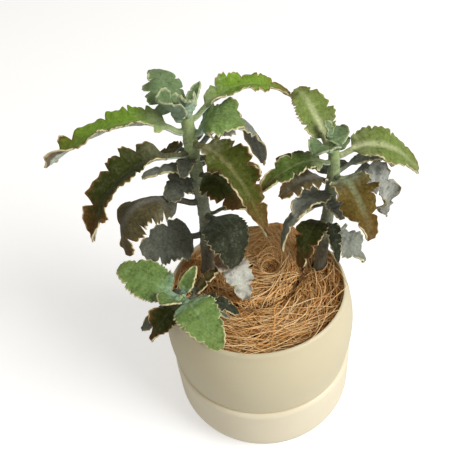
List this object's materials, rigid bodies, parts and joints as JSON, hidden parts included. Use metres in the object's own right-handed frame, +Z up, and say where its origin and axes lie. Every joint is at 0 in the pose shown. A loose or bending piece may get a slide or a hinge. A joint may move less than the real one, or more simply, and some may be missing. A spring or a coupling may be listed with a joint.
{
  "type": "potted kalanchoe",
  "caption": "Felt-leaved kalanchoe with lobed, pale-edged leaves on upright stems, rooted under coir mulch in a cream ceramic planter on a deep saucer.",
  "frame": {"origin": "middle of the saucer's flat base, on the surface the pot stands on", "axes": "+Z up along the pot's turning axis, +X to the side of the right-hand plant, -Y towards the viewer"},
  "size_m": [0.2473, 0.1416, 0.2664],
  "materials": {
    "saucer_glaze": "warm cream satin glaze",
    "planter_glaze": "pale putty cream satin glaze",
    "potting_mix": "dark crumbly peat and bark mix",
    "coir_fibre": "golden brown coconut fibre",
    "stem_felt": "grey-green felted stem",
    "leaf_green": "green felted blade with pale margin",
    "leaf_young": "pale green woolly young leaf",
    "leaf_olive": "dark olive felted blade with brown margin",
    "leaf_brown": "bronze brown felted blade",
    "leaf_grey": "slate grey felted older leaf",
    "leaf_silver": "dry silver underside"
  },
  "bodies": {
    "root": {"saucer": "saucer_glaze", "planter": "planter_glaze", "potting_mix": "potting_mix", "coir_mulch": "coir_fibre", "tall_stem": "stem_felt", "right_stem": "stem_felt", "low_stem": "stem_felt", "tall_leaf_long_left": "leaf_green", "tall_leaf_back_right": "leaf_green", "tall_leaf_front_right": "leaf_olive", "tall_leaf_arched_left": "leaf_olive", "right_leaf_long": "leaf_green", "right_leaf_upright": "leaf_green", "right_leaf_left": "leaf_green", "right_leaf_golden": "leaf_brown", "low_leaf_left": "leaf_green", "low_leaf_front": "leaf_green", "tall_leaf_broad": "leaf_green", "tall_leaf_claw": "leaf_young", "tall_leaf_cupped": "leaf_young", "tall_leaf_curly": "leaf_young", "tall_leaf_small_back": "leaf_young", "tall_leaf_hooked_back": "leaf_grey", "tall_leaf_curled_left": "leaf_brown", "tall_leaf_round_front": "leaf_grey", "tall_leaf_grey_left": "leaf_grey", "tall_leaf_dark_front": "leaf_olive", "tall_leaf_silver": "leaf_silver", "tall_leaf_tip_right": "leaf_olive", "tall_leaf_dark_left": "leaf_brown", "tall_leaf_narrow_left": "leaf_grey", "tall_leaf_grey_cluster": "leaf_grey", "tall_leaf_upper_left": "leaf_grey", "tall_leaf_curl_right": "leaf_olive", "tall_leaf_brown_under": "leaf_brown", "tall_leaf_behind": "leaf_grey", "right_leaf_round_left": "leaf_young", "right_leaf_round_front": "leaf_young", "right_leaf_small_back": "leaf_young", "right_leaf_heart": "leaf_young", "right_leaf_under_left": "leaf_brown", "right_leaf_behind_left": "leaf_brown", "right_leaf_silver": "leaf_silver", "right_leaf_curled": "leaf_grey", "right_leaf_round_low_left": "leaf_grey", "right_leaf_low_left": "leaf_grey", "right_leaf_thin": "leaf_grey", "right_leaf_pale_tip": "leaf_olive", "right_leaf_low_front": "leaf_grey", "right_leaf_mid_front": "leaf_grey", "right_leaf_low_right": "leaf_grey", "right_leaf_behind": "leaf_grey", "low_leaf_top": "leaf_green", "low_leaf_small_left": "leaf_green", "low_leaf_olive": "leaf_olive", "low_leaf_brown": "leaf_brown", "low_leaf_grey_right": "leaf_grey", "low_leaf_rim_left": "leaf_grey", "low_leaf_grey_left": "leaf_grey", "low_leaf_tiny": "leaf_grey"}
  },
  "joints": []
}
